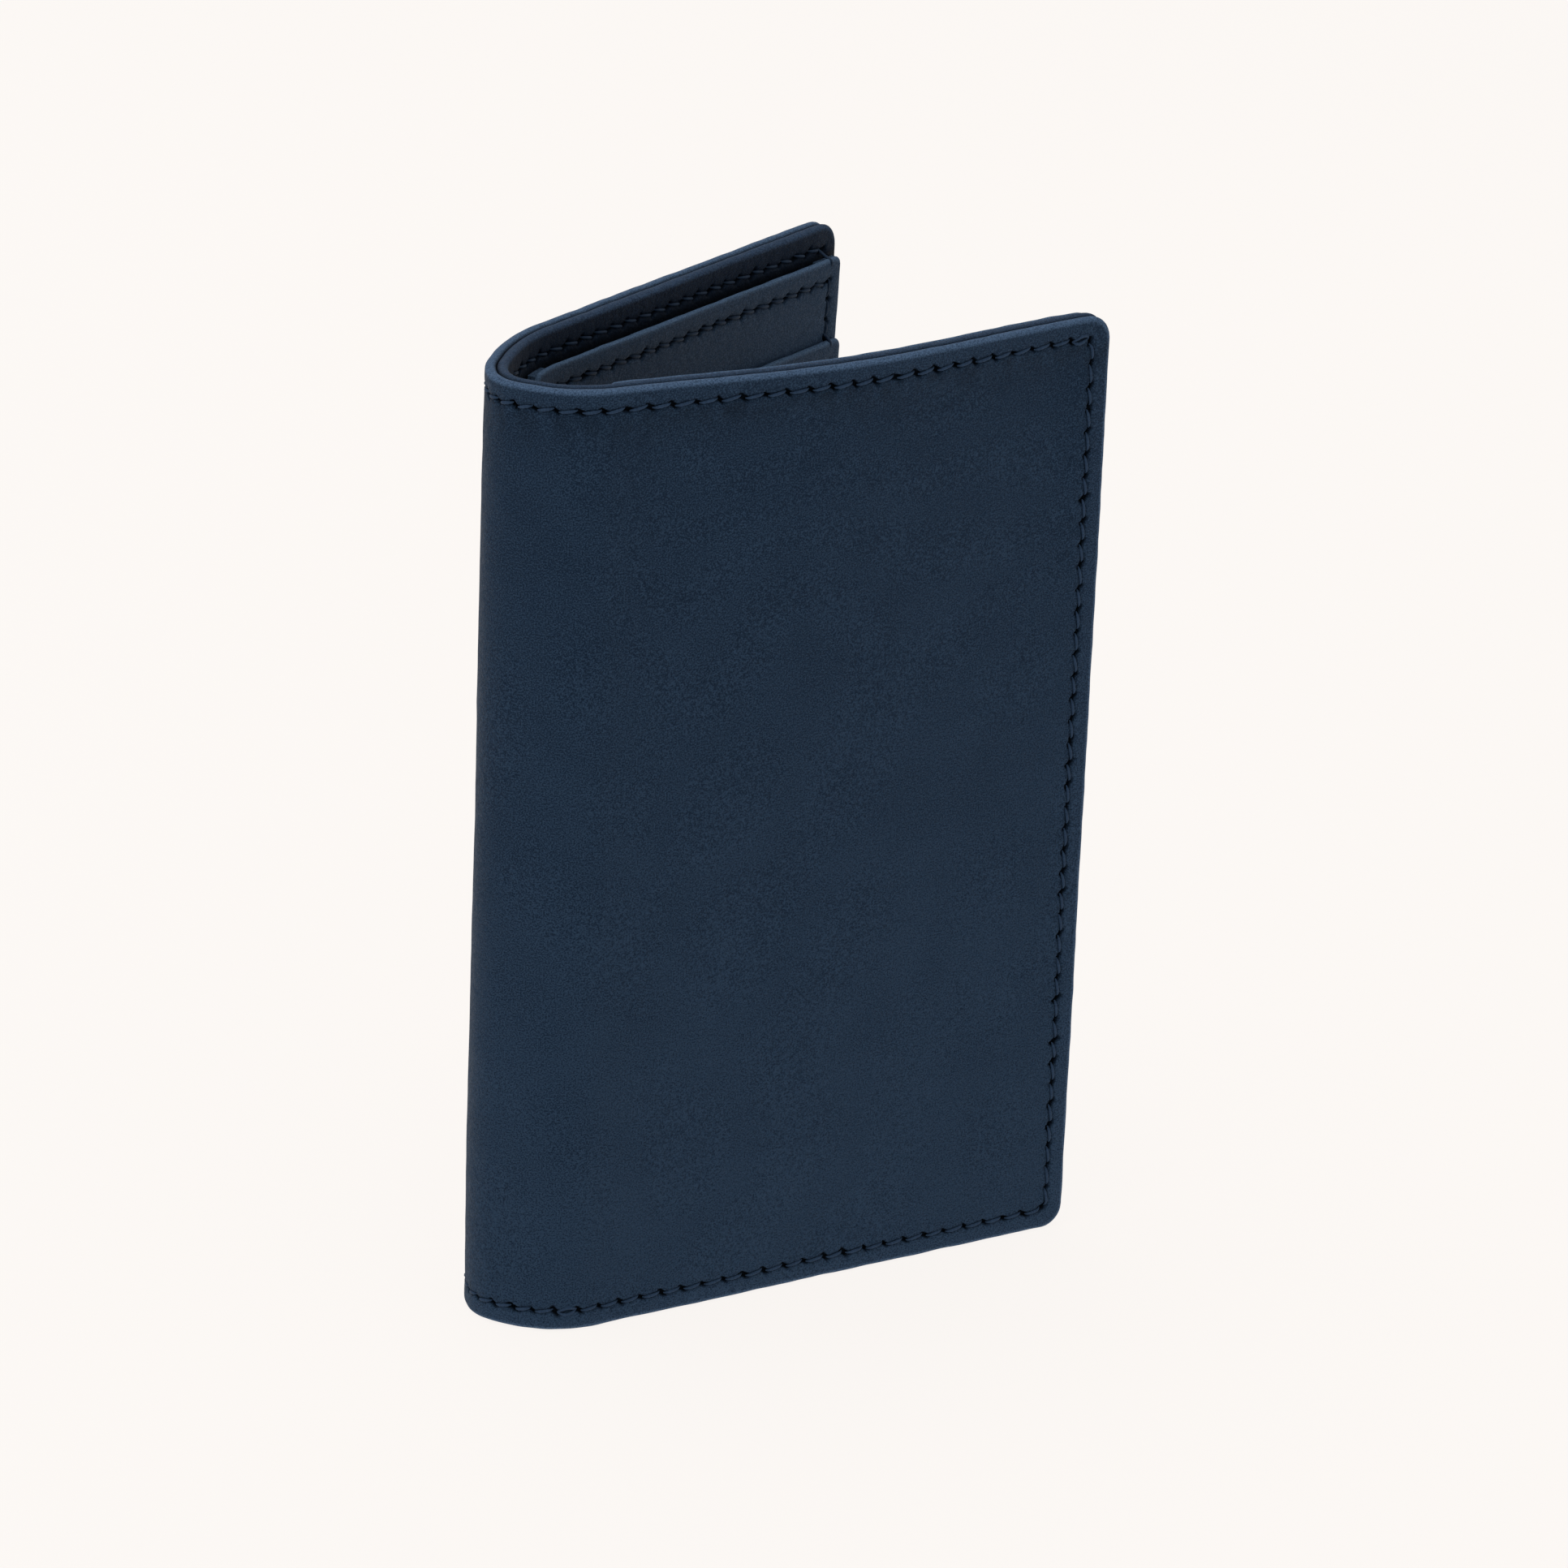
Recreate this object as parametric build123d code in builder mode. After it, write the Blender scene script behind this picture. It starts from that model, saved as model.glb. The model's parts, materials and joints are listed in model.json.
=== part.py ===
from build123d import *
from math import cos, hypot, radians, sin
import os

# A tall leather passport holder that stands partly open on its bottom edges.
# Frame: +Z up, spine towards -X, opening towards +X, front cover on the -Y side.
# The origin is on the ground, at the centre of the footprint.

# Overall sizes
HEIGHT = 140.0
BACK_FLAT = 66.2
FRONT_FLAT = 78.1
CORNER_RADIUS = 3.4

# The leather turns through these folds, from the back cover round to the front cover
FOLD_LENGTHS = (9.0, 8.0, 6.0, 6.0, 6.0, 9.0)
FOLD_TURNS = (17.8, 9.5, 26.3, 46.7, 14.6, 41.6)
HALF_OPENING = (180.0 - sum(FOLD_TURNS)) / 2

# Leather and board thicknesses
SHELL = 1.65
LINING = 1.65
BODY = SHELL + LINING
SLEEVE = 1.15
POCKET = 0.9
TONGUE = 0.25
BOARD = 0.7
EDGE_ROUND = 0.6
THIN_EDGE_ROUND = 0.3
EDGE_SETBACK = 0.2 * EDGE_ROUND

# The boards lie in recesses that the turned edges leave in the two shells
TURNED_EDGE = 10.0
BOARD_PLAY = 0.1
BOARD_SPINE_GAP = 3.0

# Spine joints: places along the outer face where one rigid strip ends and the next begins
HINGE_STATIONS = (75.2, 86.2, 92.2, 98.2, 105.7)
HINGE_TURNS = (27.3, 26.3, 46.7, 14.6, 41.6)
OVERCLOSE = 0.2
JOINT_GAP = 0.3

# Stitching
STITCH_INSET = 3.0
STITCH_PITCH = 3.35
STITCH_SHARE = 0.72
THREAD_WIDTH = 0.6
THREAD_RISE = 0.25
STITCH_LIFT = 0.06
CURVE_LIFT = 0.22
ROW_MARGIN = 1.0
BEND_MARGIN = 0.5

# Card pockets: four panels stepped down the back cover, each standing off at its mouth
POCKET_COUNT = 4
POCKET_TOP = HEIGHT - 4.5
POCKET_STEP = 12.3
POCKET_FACE = 18.5
POCKET_END = 74.2
POCKET_SIDE = 1.2
POCKET_MOUTH = 1.0
POCKET_FOOT = 0.15
POCKET_STAGGER = 0.36
POCKET_WELT = 4.7
WELT_BITE = POCKET / 3
POCKET_SEAM_DROP = 3.4
BASE_FOOT = 0.9
FLOOR_CLEARANCE = 0.3
TONGUE_MARGIN = 0.6
TONGUE_FLOORS = (46.0, 33.0, 20.0)

# Passport sleeve on the front cover, sewn on three sides and open towards the spine
SLEEVE_START = 110.2
SLEEVE_SIDE = 0.3
SLEEVE_MARGIN = 4.5
SLEEVE_SLIT = 0.35
SLEEVE_SEAM_INSET = 3.4
SLEEVE_ROW_MARGIN = 2.0

# Working tolerances: matching a length or a bend, telling vertical from level, overrun of cuts
LENGTH_MATCH = 0.05
BEND_MATCH = 0.01
PARALLEL = 0.99
LEVEL = 0.1
CUT_OVERRUN = 1.0
NOSE_SAMPLES = 24

STRETCHES = ((BACK_FLAT, 0.0), *zip(FOLD_LENGTHS, FOLD_TURNS), (FRONT_FLAT, 0.0))
PATH_LENGTH = sum(length for length, turn in STRETCHES)
ENDS = (0.0, *[sum(length for length, turn in STRETCHES[: i + 1]) for i in range(len(STRETCHES))])
STRIP_COUNT = len(HINGE_STATIONS) - 1


def walk(distance):
    """Follow the outer face from the back cover's free edge: x, y and heading in degrees."""
    x, y, heading = 0.0, 0.0, 180.0 + HALF_OPENING
    for length, turn in STRETCHES:
        run = min(distance, length)
        bend = turn * run / length
        half = radians(bend / 2)
        chord = run * sin(half) / half if half else run
        x += chord * cos(radians(heading) + half)
        y += chord * sin(radians(heading) + half)
        heading += bend
        distance -= run
        if distance <= 0:
            break
    return x, y, heading


def beside(distance, depth):
    """A point at a depth inside the outer face, before the footprint is centred."""
    x, y, heading = walk(distance)
    return x - depth * sin(radians(heading)), y + depth * cos(radians(heading))


def footprint_centre():
    """Middle of the footprint, from the spine's nose and the covers' free ends."""
    bend_step = FOLD_LENGTHS[2] / NOSE_SAMPLES
    nose = min(beside(ENDS[3] + i * bend_step, -THREAD_RISE)[0] for i in range(NOSE_SAMPLES))
    base_face = BODY + POCKET_MOUTH + (POCKET_COUNT - 1) * POCKET_STAGGER + POCKET
    back_tip = beside(POCKET_SIDE, base_face)[0]
    front_tip = beside(PATH_LENGTH, BODY + SLEEVE)[0]
    back_side = beside(0, 0)[1] - EDGE_SETBACK
    front_side = beside(PATH_LENGTH, 0)[1] + EDGE_SETBACK
    return (nose + max(back_tip, front_tip)) / 2, (back_side + front_side) / 2


CENTRE = footprint_centre()


def place(distance, depth=0.0):
    """A point of the plan in the part's frame, by its distance along the path and its depth."""
    x, y = beside(distance, depth)
    return x - CENTRE[0], y - CENTRE[1]


def inward(distance):
    """Unit vector that points from the outer face into the holder."""
    heading = radians(walk(distance)[2])
    return -sin(heading), cos(heading)


def along(distance):
    """Unit vector along the path, towards the front cover's free edge."""
    heading = radians(walk(distance)[2])
    return cos(heading), sin(heading)


def trace(start, end, depth):
    """Draw the path between two stations at one depth, inside a BuildLine."""
    cuts = [start, *[stop for stop in ENDS if start < stop < end], end]
    for low, high in zip(cuts, cuts[1:]):
        middle = (low + high) / 2
        bent = abs(walk(high)[2] - walk(low)[2]) > BEND_MATCH
        if bent:
            ThreePointArc(place(low, depth), place(middle, depth), place(high, depth))
        else:
            Line(place(low, depth), place(high, depth))


def trace_band(start, end, outer, inner):
    """Draw the closed outline of a band of leather between two depths, inside a BuildLine."""
    trace(start, end, outer)
    trace(start, end, inner)
    Line(place(start, outer), place(start, inner))
    Line(place(end, outer), place(end, inner))


def joint_gap(hinge):
    """Half of the wedge left at a joint, so that the strips still clear when overclosed."""
    return (JOINT_GAP + BODY * sin(radians(HINGE_TURNS[hinge] * OVERCLOSE))) / 2


def save(part, label):
    """Name a finished piece and write its STEP file."""
    part.label = label
    export_step(part, f"parts/{label}.step")


def rim(part, thickness, free_station):
    """Edges along the top, the bottom and the free side of a band of leather."""
    edges = []
    for edge in part.edges():
        middle = edge.position_at(0.5)
        vertical = abs(edge.tangent_at(0.5).Z) > PARALLEL
        across = abs(edge.length - thickness) < LENGTH_MATCH
        if free_station is None:
            at_free_side = False
        else:
            x, y = place(free_station)
            at_free_side = hypot(middle.X - x, middle.Y - y) < 2 * thickness
        if across or (vertical and not at_free_side):
            continue
        edges.append(edge)
    return edges


def corner_edges(part, thickness, free_station):
    """The two short edges that cross the leather at the free corners."""
    x, y = place(free_station)
    return [
        edge
        for edge in part.edges()
        if abs(edge.length - thickness) < LENGTH_MATCH
        and abs(edge.tangent_at(0.5).Z) < LEVEL
        and hypot(edge.position_at(0.5).X - x, edge.position_at(0.5).Y - y) < 3 * thickness + BODY
    ]


def low_corner(part, station):
    """The short edges that cross the leather at the lower free corner."""
    x, y = place(station, BODY)
    nx, ny = inward(station)
    edges = []
    for edge in part.edges():
        middle = edge.position_at(0.5)
        heading = edge.tangent_at(0.5)
        crosses = abs(heading.X * nx + heading.Y * ny) > PARALLEL
        near = hypot(middle.X - x, middle.Y - y) < BODY and middle.Z < 2 * FLOOR_CLEARANCE
        if crosses and near:
            edges.append(edge)
    return edges


def stand(station, depth, z, facing):
    """A plane on a leather face: x along the path, z out of the face (-1 outside, +1 inside)."""
    x, y = place(station, depth)
    tx, ty = along(station)
    nx, ny = inward(station)
    return Plane(origin=(x, y, z), x_dir=(tx, ty, 0), z_dir=(facing * nx, facing * ny, 0))


def upright(station, depth, z, facing):
    """The same plane turned so that its x direction is vertical."""
    x, y = place(station, depth)
    nx, ny = inward(station)
    return Plane(origin=(x, y, z), x_dir=(0, 0, 1), z_dir=(facing * nx, facing * ny, 0))


def row(start, end, depth, z, facing, lift=STITCH_LIFT):
    """Stitches along the path between two stations, as (plane, length) pairs."""
    count = max(1, round((end - start) / STITCH_PITCH))
    step = (end - start) / count
    surface = depth + facing * lift
    stitches = []
    for index in range(count):
        station = start + (index + 0.5) * step
        ahead = place(station + step / 2, surface)
        behind = place(station - step / 2, surface)
        span = hypot(ahead[0] - behind[0], ahead[1] - behind[1])
        stitches.append((stand(station, surface, z, facing), span * STITCH_SHARE))
    return stitches


def column(low, high, station, depth_at, facing):
    """Stitches up a free side; depth_at gives the leather's face at each height."""
    count = max(1, round((high - low) / STITCH_PITCH))
    step = (high - low) / count
    stitches = []
    for index in range(count):
        z = low + (index + 0.5) * step
        surface = depth_at(z) + facing * STITCH_LIFT
        stitches.append((upright(station, surface, z, facing), step * STITCH_SHARE))
    return stitches


def sew(stitches, label):
    """One group of separate thread loops that lie on the leather."""
    with BuildPart() as seam:
        for plane, length in stitches:
            with BuildSketch(plane):
                SlotOverall(length, THREAD_WIDTH)
        extrude(amount=THREAD_RISE)
    save(seam.part, label)


# --- Outer shells and lining of the two covers --------------------------------------------

BACK_END = HINGE_STATIONS[0] - joint_gap(0)
FRONT_START = HINGE_STATIONS[-1] + joint_gap(STRIP_COUNT)
BACK_BOARD = (TURNED_EDGE, BACK_FLAT - BOARD_SPINE_GAP)
FRONT_BOARD = (SLEEVE_START + BOARD_SPINE_GAP, PATH_LENGTH - TURNED_EDGE)
COVERS = (
    ("back", 0.0, BACK_END, 0.0, BACK_BOARD),
    ("front", FRONT_START, PATH_LENGTH, PATH_LENGTH, FRONT_BOARD),
)

for name, start, end, free_side, board in COVERS:
    with BuildPart() as shell:
        with BuildSketch(Plane.XY):
            with BuildLine():
                trace_band(start, end, 0, SHELL)
            make_face()
        extrude(amount=HEIGHT)
        fillet(corner_edges(shell, SHELL, free_side), CORNER_RADIUS)
        fillet(rim(shell, SHELL, free_side), EDGE_ROUND)
        with BuildSketch(Plane.XY.offset(TURNED_EDGE)):
            with BuildLine():
                trace_band(*board, SHELL - BOARD, SHELL)
            make_face()
        extrude(amount=HEIGHT - 2 * TURNED_EDGE, mode=Mode.SUBTRACT)
    save(shell.part, f"outer_shell_{name}")

    with BuildPart() as lining:
        with BuildSketch(Plane.XY):
            with BuildLine():
                trace_band(start, end, SHELL, BODY)
            make_face()
        extrude(amount=HEIGHT)
        fillet(corner_edges(lining, LINING, free_side), CORNER_RADIUS)
        fillet(rim(lining, LINING, free_side), EDGE_ROUND)
    save(lining.part, f"lining_{name}")

    with BuildPart() as stiffener:
        with BuildSketch(Plane.XY.offset(TURNED_EDGE + BOARD_PLAY)):
            with BuildLine():
                trace_band(board[0] + BOARD_PLAY, board[1] - BOARD_PLAY, SHELL - BOARD, SHELL)
            make_face()
        extrude(amount=HEIGHT - 2 * TURNED_EDGE - 2 * BOARD_PLAY)
    save(stiffener.part, f"stiffener_{name}")

# --- Spine strips: the leather between the covers, one rigid strip from joint to joint ------

for index in range(STRIP_COUNT):
    start = HINGE_STATIONS[index] + joint_gap(index)
    end = HINGE_STATIONS[index + 1] - joint_gap(index + 1)

    with BuildPart() as shell_strip:
        with BuildSketch(Plane.XY):
            with BuildLine():
                trace_band(start, end, 0, SHELL)
            make_face()
        extrude(amount=HEIGHT)
        fillet(rim(shell_strip, SHELL, None), EDGE_ROUND)
    save(shell_strip.part, f"outer_shell_spine_{index + 1}")

    with BuildPart() as lining_strip:
        with BuildSketch(Plane.XY):
            with BuildLine():
                trace_band(start, end, SHELL, BODY)
            make_face()
        extrude(amount=HEIGHT)
        fillet(rim(lining_strip, LINING, None), EDGE_ROUND)
    save(lining_strip.part, f"lining_spine_{index + 1}")

    strip_rows = []
    for level in (STITCH_INSET, HEIGHT - STITCH_INSET):
        strip_rows += row(start, end, 0, level, -1)
        strip_rows += row(start, end, BODY, level, 1, CURVE_LIFT)
    sew(strip_rows, f"seam_spine_{index + 1}")

# --- Passport sleeve -----------------------------------------------------------------------

SLEEVE_END = PATH_LENGTH - SLEEVE_SIDE

with BuildPart() as sleeve:
    with BuildSketch(Plane.XY.offset(FLOOR_CLEARANCE)):
        with BuildLine():
            trace_band(SLEEVE_START, SLEEVE_END, BODY, BODY + SLEEVE)
        make_face()
    extrude(amount=HEIGHT - 2 * FLOOR_CLEARANCE)
    fillet(corner_edges(sleeve, SLEEVE, SLEEVE_END), CORNER_RADIUS)
    fillet(rim(sleeve, SLEEVE, SLEEVE_END), THIN_EDGE_ROUND)
    with BuildSketch(Plane.XY.offset(SLEEVE_MARGIN)):
        with BuildLine():
            trace_band(
                SLEEVE_START - CUT_OVERRUN,
                SLEEVE_END - SLEEVE_MARGIN,
                BODY - CUT_OVERRUN,
                BODY + SLEEVE_SLIT,
            )
        make_face()
    extrude(amount=HEIGHT - 2 * SLEEVE_MARGIN, mode=Mode.SUBTRACT)
save(sleeve.part, "passport_sleeve")

# --- Card pockets --------------------------------------------------------------------------


def pocket_top(index):
    """Height of a pocket's mouth."""
    return POCKET_TOP - index * POCKET_STEP


def pocket_foot(index):
    """Lower end of a pocket's leather."""
    last = index == POCKET_COUNT - 1
    return FLOOR_CLEARANCE if last else pocket_top(index) - POCKET_FACE


def pocket_back(index, z):
    """Depth of the back of a pocket panel, which leans out towards its mouth."""
    top = BODY + POCKET_MOUTH + index * POCKET_STAGGER
    last = index == POCKET_COUNT - 1
    foot = BODY + BASE_FOOT if last else BODY + POCKET_FOOT + index * POCKET_STAGGER
    share = (z - pocket_foot(index)) / (pocket_top(index) - pocket_foot(index))
    return foot + (top - foot) * share


def pocket_face(z):
    """Depth of the outermost leather of the pocket block at a height."""
    for index in reversed(range(POCKET_COUNT)):
        if z < pocket_top(index):
            return pocket_back(index, z) + POCKET
    return BODY


for index in range(POCKET_COUNT):
    foot = pocket_foot(index)
    top = pocket_top(index)
    lean = pocket_back(index, top) - pocket_back(index, foot)
    nx, ny = inward(0)
    slant = (lean * nx, lean * ny, top - foot)
    back = pocket_back(index, foot)
    welt_foot = FLOOR_CLEARANCE if index == POCKET_COUNT - 1 else foot
    welt_top = POCKET_TOP if index == 0 else pocket_foot(index - 1)
    welt_depth = pocket_back(index, welt_foot) + WELT_BITE

    with BuildPart() as pocket:
        with BuildSketch(Plane.XY.offset(foot)):
            with BuildLine():
                trace_band(POCKET_SIDE, POCKET_END, back, back + POCKET)
            make_face()
        extrude(amount=hypot(lean, top - foot), dir=slant)
        with BuildSketch(Plane.XY.offset(welt_foot)):
            for low in (POCKET_SIDE, POCKET_END - POCKET_WELT):
                with BuildLine():
                    trace_band(low, low + POCKET_WELT, BODY, welt_depth)
                make_face()
        extrude(amount=welt_top - welt_foot)
        if index == POCKET_COUNT - 1:
            with BuildSketch(Plane.XY.offset(FLOOR_CLEARANCE)):
                with BuildLine():
                    trace_band(POCKET_SIDE, POCKET_END, BODY, welt_depth)
                make_face()
            extrude(amount=POCKET_WELT)
            fillet(low_corner(pocket, POCKET_SIDE), CORNER_RADIUS)
    save(pocket.part, f"card_pocket_{index + 1}")

    mouth_row = []
    z = top - POCKET_SEAM_DROP
    surface = pocket_back(index, z) + POCKET
    mouth_row += row(STITCH_INSET + ROW_MARGIN, BACK_FLAT, surface, z, 1)
    mouth_row += row(BACK_FLAT + BEND_MARGIN, POCKET_END - ROW_MARGIN, surface, z, 1, CURVE_LIFT)
    sew(mouth_row, f"pocket_seam_{index + 1}")

TONGUE_START = POCKET_SIDE + POCKET_WELT + TONGUE_MARGIN
TONGUE_END = POCKET_END - POCKET_WELT - TONGUE_MARGIN

for index, floor in enumerate(TONGUE_FLOORS):
    with BuildPart() as tongue:
        depth = pocket_back(index, pocket_foot(index))
        with BuildSketch(Plane.XY.offset(floor)):
            with BuildLine():
                trace_band(TONGUE_START, TONGUE_END, depth, depth + TONGUE)
            make_face()
        extrude(amount=pocket_foot(index) - floor)
    save(tongue.part, f"pocket_tongue_{index + 1}")

# --- Perimeter stitching on the two covers -------------------------------------------------

LOW_ROW = STITCH_INSET
HIGH_ROW = HEIGHT - STITCH_INSET
FRONT_SEAM = PATH_LENGTH - STITCH_INSET
SLEEVE_JOG = 1.5
SLEEVE_FACE = BODY + SLEEVE

back_outside = column(LOW_ROW, HIGH_ROW, STITCH_INSET, lambda z: 0.0, -1)
front_outside = column(LOW_ROW, HIGH_ROW, FRONT_SEAM, lambda z: 0.0, -1)
front_inside = column(LOW_ROW, HIGH_ROW, FRONT_SEAM, lambda z: SLEEVE_FACE, 1)
for level in (LOW_ROW, HIGH_ROW):
    back_outside += row(STITCH_INSET, BACK_END, 0, level, -1)
    front_outside += row(FRONT_START, FRONT_SEAM, 0, level, -1)
    front_inside += row(SLEEVE_START + SLEEVE_JOG, FRONT_SEAM, SLEEVE_FACE, level, 1)
    front_inside += row(FRONT_START, SLEEVE_START - BEND_MARGIN, BODY, level, 1, CURVE_LIFT)

levels = [LOW_ROW, *[pocket_top(index) for index in reversed(range(POCKET_COUNT))]]
back_inside = []
for low, high in zip(levels, levels[1:]):
    back_inside += column(low, high, STITCH_INSET, pocket_face, 1)
back_inside += row(STITCH_INSET, BACK_END, BODY, HIGH_ROW, 1, CURVE_LIFT)
back_inside += row(
    STITCH_INSET, POCKET_END - ROW_MARGIN, pocket_face(LOW_ROW), LOW_ROW, 1, CURVE_LIFT
)

sleeve_edge = column(
    LOW_ROW + SLEEVE_ROW_MARGIN,
    HIGH_ROW - SLEEVE_ROW_MARGIN,
    SLEEVE_START + SLEEVE_SEAM_INSET,
    lambda z: SLEEVE_FACE,
    1,
)

sew(back_outside, "outer_seam_back")
sew(back_inside, "inner_seam_back")
sew(front_outside, "outer_seam_front")
sew(front_inside, "inner_seam_front")
sew(sleeve_edge, "sleeve_seam")

# Joint axes, for the record: every joint is vertical and lies on the outer face
for index, hinge in enumerate(HINGE_STATIONS):
    x, y = place(hinge)
    print(f"joint {index + 1}: x {x:.4f} y {y:.4f} turn {HINGE_TURNS[index]}")
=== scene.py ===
import json
import math

import bmesh
import bpy
import numpy as np
from mathutils import Matrix, Vector


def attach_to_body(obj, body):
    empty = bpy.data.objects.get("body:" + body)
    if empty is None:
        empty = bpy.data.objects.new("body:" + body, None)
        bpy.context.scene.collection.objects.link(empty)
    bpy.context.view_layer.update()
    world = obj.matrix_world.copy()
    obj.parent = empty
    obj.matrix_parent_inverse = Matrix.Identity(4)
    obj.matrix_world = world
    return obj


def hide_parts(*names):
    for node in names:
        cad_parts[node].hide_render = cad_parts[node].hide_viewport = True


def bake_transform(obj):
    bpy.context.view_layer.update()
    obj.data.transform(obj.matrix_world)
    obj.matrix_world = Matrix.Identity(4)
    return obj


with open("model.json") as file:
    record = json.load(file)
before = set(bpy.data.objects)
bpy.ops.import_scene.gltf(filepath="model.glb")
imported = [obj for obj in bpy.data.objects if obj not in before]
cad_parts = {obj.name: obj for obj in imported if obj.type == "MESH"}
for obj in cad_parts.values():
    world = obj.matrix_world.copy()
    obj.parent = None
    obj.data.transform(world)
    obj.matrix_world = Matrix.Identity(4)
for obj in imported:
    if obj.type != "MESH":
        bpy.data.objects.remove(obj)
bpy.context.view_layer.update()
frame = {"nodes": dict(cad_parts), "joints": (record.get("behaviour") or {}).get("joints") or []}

# A leather passport holder, standing partly open. Lengths are in millimetres until a mesh is
# written. A place on the leather is (s, z, depth): s runs along the plan of the outer face from
# the back cover's free edge, round the spine, to the front cover's free edge; z is the height;
# depth goes inwards from the outer face.

MM = 0.001
HEIGHT = 140.0

# The plan of the outer face: two flat covers, and between them the arcs of the spine at rest
BACK_FLAT = 66.2
FRONT_FLAT = 78.1
FOLD_LENGTHS = (9.0, 8.0, 6.0, 6.0, 6.0, 9.0)
FOLD_TURNS = (17.8, 9.5, 26.3, 46.7, 14.6, 41.6)
HALF_OPENING = (180.0 - sum(FOLD_TURNS)) / 2
STRETCHES = ((BACK_FLAT, 0.0), *zip(FOLD_LENGTHS, FOLD_TURNS), (FRONT_FLAT, 0.0))
PATH_LENGTH = sum(length for length, turn in STRETCHES)
FOLD_START = BACK_FLAT
FOLD_END = PATH_LENGTH - FRONT_FLAT

# Thicknesses of the leather; BODY is the shell and the lining together
SHELL = 1.65
BODY = 3.3
SLEEVE = 1.15
POCKET = 0.9
LAYER_GAP = 0.03
CORNER = 3.4

# The leather bends between two bodies in each of these stretches
ZONES = (
    (0.0, 83.2, "back_cover", "spine_1"),
    (83.2, 89.2, "spine_1", "spine_2"),
    (89.2, 95.2, "spine_2", "spine_3"),
    (95.2, 101.2, "spine_3", "spine_4"),
    (101.2, PATH_LENGTH, "spine_4", "front_cover"),
)
CUTS = np.array([zone[1] for zone in ZONES[:-1]])
LAST_ZONE = len(ZONES) - 1
BLEND_FROM = 65.2
BLEND_TO = 110.7
BLEND_MARGIN = 0.02
ON_CUT = 1e-3

# The front cover's upper part bows outwards
BOW = 3.7
BOW_START = 106.2
BOW_SKEW = 0.92
BOW_SHARPNESS = 1.8
BOW_RISE = 1.6

# Seams: slanted awl holes in a sunk channel, at an inset from the edge. Ranges, such as
# HOLE_SIZES, are factors that a random number is drawn between.
INSET = 3.0
LINING_TOP_INSET = 3.35
PITCH = 3.35
PITCH_JITTER = 0.1
SLANT = 0.22
HOLE_TURN = math.radians(30)
HOLE_TURN_SPREAD = 0.2
HOLE_HALF = (0.7, 0.32)
HOLE_SIZES = (0.75, 1.25)
HOLE_RIM = 1.3
HOLE_WALL = 0.5
HOLE_DEPTH = 0.6
HOLE_DEPTHS = (0.7, 1.3)
CHANNEL_DEPTH = 0.24
CHANNEL_WIDTH = 0.3

# The outer seam's stitches nearest to these places, as (s, z), are sewn twice
TWINS = ((107.6, 3.0), (183.2, 137.0))
TWIN_BULGE = 0.5

# Pockets and sleeve. Behind a panel is a gap, POCKET_FOOT at its foot and POCKET_MOUTH at its
# mouth, which grows by POCKET_STAGGER with each pocket.
POCKET_COUNT = 4
POCKET_TOP = 135.5
POCKET_STEP = 12.3
POCKET_FACE = 18.5
POCKET_SPAN = (1.2, 74.2)
POCKET_MOUTH = 1.0
POCKET_FOOT = 0.15
POCKET_STAGGER = 0.36
BASE_FOOT = 0.9
WELT = 4.7
SIDE_SEAM = 2.7
MOUTH_SEAM = 3.4
SMALL_CORNER = 1.2
FOOT_CORNER = 0.8
FLOOR_CLEARANCE = 0.3
SLEEVE_SPAN = (110.2, 187.9)

# The leather's slow unevenness is drawn from this; each sheet has a seed of its own as well
rng = np.random.default_rng(7)


# --- The plan ---


def walk(s):
    """Plan of the outer face: x, y and heading at each s."""
    left = np.array(s, float)
    x, y = np.zeros_like(left), np.zeros_like(left)
    heading = np.full_like(left, math.radians(180.0 + HALF_OPENING))
    for length, turn in STRETCHES:
        run = np.clip(left, 0, length)
        half = np.radians(turn * run / length) / 2
        chord = run * np.sinc(half / math.pi)
        x += chord * np.cos(heading + half)
        y += chord * np.sin(heading + half)
        heading += 2 * half
        left -= run
    return x, y, heading


# The frame's first hinge lies at this station of the plan, which places the plan in the frame
FIRST_HINGE = 75.2
hinge = frame["joints"][0]["pos_m"]
pin_x, pin_y, _ = walk(np.array([FIRST_HINGE]))
SHIFT = np.array([hinge[0] / MM - pin_x[0], hinge[1] / MM - pin_y[0]])


def ramp(distance, length):
    """0 at no distance, rising to 1 over a length."""
    return np.clip(distance / length, 0, 1)


def smooth(share):
    """A share from 0 to 1, eased at both ends."""
    share = np.clip(share, 0, 1)
    return share * share * (3 - 2 * share)


def bell(distance, width):
    """1 at no distance, falling to 0 on both sides."""
    return np.exp(-((distance / width) ** 2))


def bow(s, z):
    """How far the front cover stands outwards of its flat plane."""
    share = ramp(s - BOW_START, PATH_LENGTH - BOW_START) ** BOW_SKEW
    rise = ramp(z, HEIGHT) ** BOW_RISE
    return BOW * np.sin(math.pi * share) ** BOW_SHARPNESS * rise


def place(s, z, depth):
    """Points of the part's frame, in millimetres."""
    s, z, depth = np.broadcast_arrays(np.asarray(s, float), z, depth)
    x, y, heading = walk(s)
    inner = depth - bow(s, z)
    return np.stack(
        [x + SHIFT[0] - inner * np.sin(heading), y + SHIFT[1] + inner * np.cos(heading), z],
        axis=-1,
    )


def waves(count, shortest, longest):
    """Random waves over the leather: wave numbers along s and z, and phases."""
    angle = rng.uniform(0, math.pi, count)
    number = 2 * math.pi / rng.uniform(shortest, longest, count)
    return np.stack([np.cos(angle) * number, np.sin(angle) * number, rng.uniform(0, 6.28, count)])


SLOW = waves(9, 16.0, 48.0)
FINE = waves(14, 3.0, 9.0)
ROUGH = waves(16, 0.7, 1.8)
CREASES = waves(12, 1.5, 5.0)


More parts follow.
